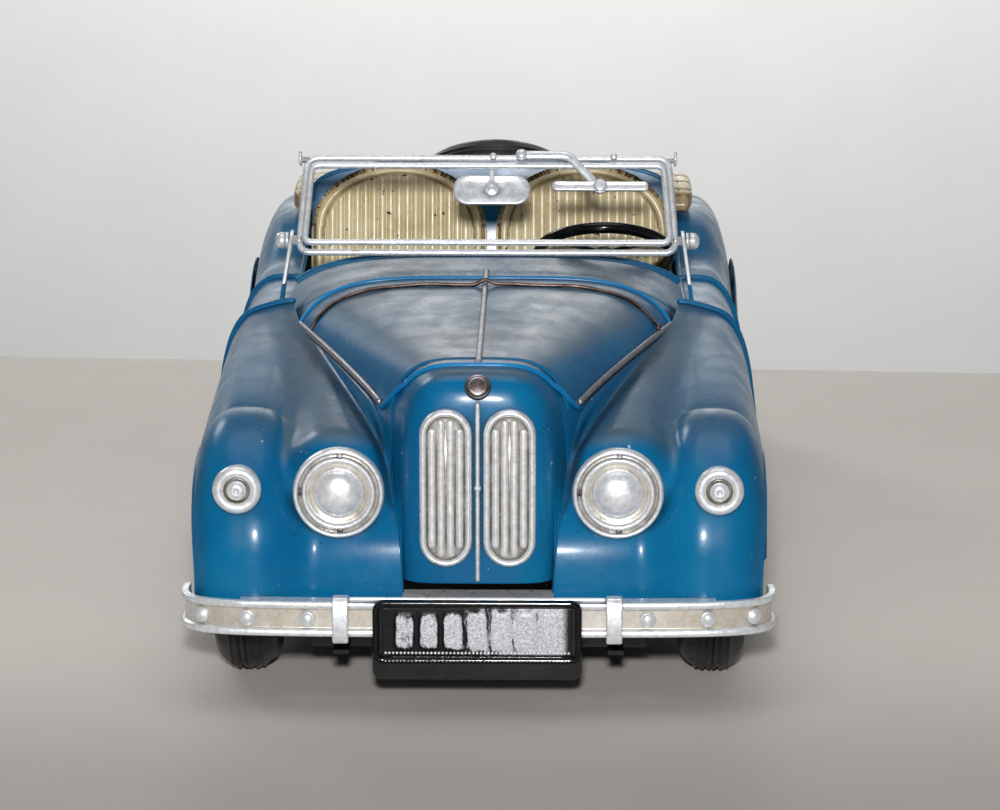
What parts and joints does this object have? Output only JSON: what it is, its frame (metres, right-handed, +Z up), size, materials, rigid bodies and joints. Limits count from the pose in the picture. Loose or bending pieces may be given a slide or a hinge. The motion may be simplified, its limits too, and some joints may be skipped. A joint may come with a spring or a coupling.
{
  "type": "friction tin car",
  "caption": "Antiqued pressed-tin toy roadster with pontoon wings, folding windscreen, spare wheel and a flywheel friction motor on its rear axle.",
  "frame": {"origin": "on the ground, at the centre of the footprint", "axes": "+Z up, the car faces -Y, +X to the car's left-hand-drive side"},
  "size_m": [0.1362, 0.32, 0.1081],
  "materials": {
    "blue_paint": "glossy petrol blue paint with dark antiquing in the creases",
    "cream_paint": "satin cream paint with brown antiquing",
    "silver_paint": "silver paint over tin, stained yellow-brown in the recesses",
    "lamp_metal": "glossy dark red paint",
    "dull_badge": "dull, browned",
    "wire_steel": "dull drawn steel",
    "black_paint": "gloss black",
    "black_plastic": "gloss black",
    "tyre_rubber": "satin black rubber",
    "gear_brass": "stamped",
    "flywheel_metal": "turned"
  },
  "bodies": {
    "body_shell": {"chassis_pan": "black_paint", "front_axle_hanger": "black_paint", "front_wing_right": "blue_paint", "front_wing_left": "blue_paint", "bonnet": "blue_paint", "scuttle": "blue_paint", "nose_shell": "blue_paint", "door_right": "blue_paint", "door_left": "blue_paint", "rear_wing_right": "blue_paint", "rear_wing_left": "blue_paint", "rear_deck": "blue_paint", "wheel_spats": "blue_paint", "cockpit_tub": "blue_paint", "dashboard": "blue_paint", "seat_right": "cream_paint", "seat_left": "cream_paint", "hood_cover": "cream_paint", "grille_surrounds": "silver_paint", "grille_slats": "silver_paint", "nose_strip": "silver_paint", "nose_badge": "dull_badge", "headlamp_rims": "silver_paint", "headlamp_domes": "silver_paint", "parking_lamps": "silver_paint", "front_bumper": "silver_paint", "rear_bumper": "silver_paint", "bumper_rivets": "silver_paint", "overriders": "silver_paint", "plate_frame": "black_paint", "plate_face": "silver_paint", "tail_lamps": "lamp_metal", "bonnet_centre_strip": "silver_paint", "bonnet_side_strips": "silver_paint", "bonnet_arch_wire": "wire_steel", "stanchions": "silver_paint", "stanchion_feet": "blue_paint", "steering_column": "black_paint", "spare_tyre": "tyre_rubber", "spare_wheel": "blue_paint", "motor_frame": "wire_steel", "chassis_screws": "wire_steel"},
    "screen_carrier": {"screen_carrier": "silver_paint", "screen_screws": "silver_paint", "mirror_arm": "silver_paint"},
    "mirror": {"mirror_plate": "silver_paint"},
    "screen_pane": {"screen_frame": "silver_paint"},
    "wiper_arm": {"wiper_arm": "silver_paint"},
    "wiper_blade": {"wiper_blade": "silver_paint"},
    "steering_wheel": {"steering_wheel": "black_plastic"},
    "front_wheelset": {"front_axle_rod": "wire_steel", "front_wheels": "blue_paint", "front_tyres": "tyre_rubber"},
    "rear_wheelset": {"rear_axle_rod": "wire_steel", "rear_wheels": "blue_paint", "rear_tyres": "tyre_rubber", "drive_gear": "gear_brass"},
    "idler": {"idler_gears": "gear_brass"},
    "flywheel": {"flywheel": "flywheel_metal"}
  },
  "joints": [
    {"name": "windscreen_fold", "type": "hinge", "parent": "body_shell", "child": "screen_carrier", "pos_m": [0, -0.025, 0.0855], "axis": [-1, 0, 0], "range_deg": [-95, 0]},
    {"name": "screen_open", "type": "hinge", "parent": "screen_carrier", "child": "screen_pane", "pos_m": [0, -0.01481, 0.10466], "axis": [-1, 0, 0], "range_deg": [0, 20]},
    {"name": "wiper_swing", "type": "hinge", "parent": "screen_pane", "child": "wiper_arm", "pos_m": [0.0086, -0.01834, 0.10654], "axis": [0, -0.8829, 0.4695], "range_deg": [-25, 5]},
    {"name": "wiper_blade_turn", "type": "hinge", "parent": "wiper_arm", "child": "wiper_blade", "pos_m": [0.0285, -0.02292, 0.099], "axis": [0, -0.8829, 0.4695], "range_deg": [-8, 8]},
    {"name": "mirror_swivel", "type": "hinge", "parent": "screen_carrier", "child": "mirror", "pos_m": [0.001, -0.01647, 0.09728], "axis": [0, -0.8829, 0.4695], "range_deg": [-20, 20]},
    {"name": "steering_turn", "type": "hinge", "parent": "body_shell", "child": "steering_wheel", "pos_m": [0.03, 0.009, 0.0768], "axis": [0, 0.5299, 0.848], "continuous": true},
    {"name": "front_axle_spin", "type": "hinge", "parent": "body_shell", "child": "front_wheelset", "pos_m": [0, -0.118, 0.024], "axis": [1, 0, 0], "continuous": true},
    {"name": "rear_axle_spin", "type": "hinge", "parent": "body_shell", "child": "rear_wheelset", "pos_m": [0, 0.08, 0.024], "axis": [1, 0, 0], "continuous": true},
    {"name": "idler_spin", "type": "hinge", "parent": "body_shell", "child": "idler", "pos_m": [0, 0.06725, 0.02742], "axis": [1, 0, 0], "continuous": true},
    {"name": "flywheel_spin", "type": "hinge", "parent": "body_shell", "child": "flywheel", "pos_m": [0, 0.05484, 0.02523], "axis": [1, 0, 0], "continuous": true}
  ],
  "couplings": [
    {"joint": "idler_spin", "follows": "rear_axle_spin", "ratio": -2.6667},
    {"joint": "flywheel_spin", "follows": "rear_axle_spin", "ratio": 6.6667}
  ]
}
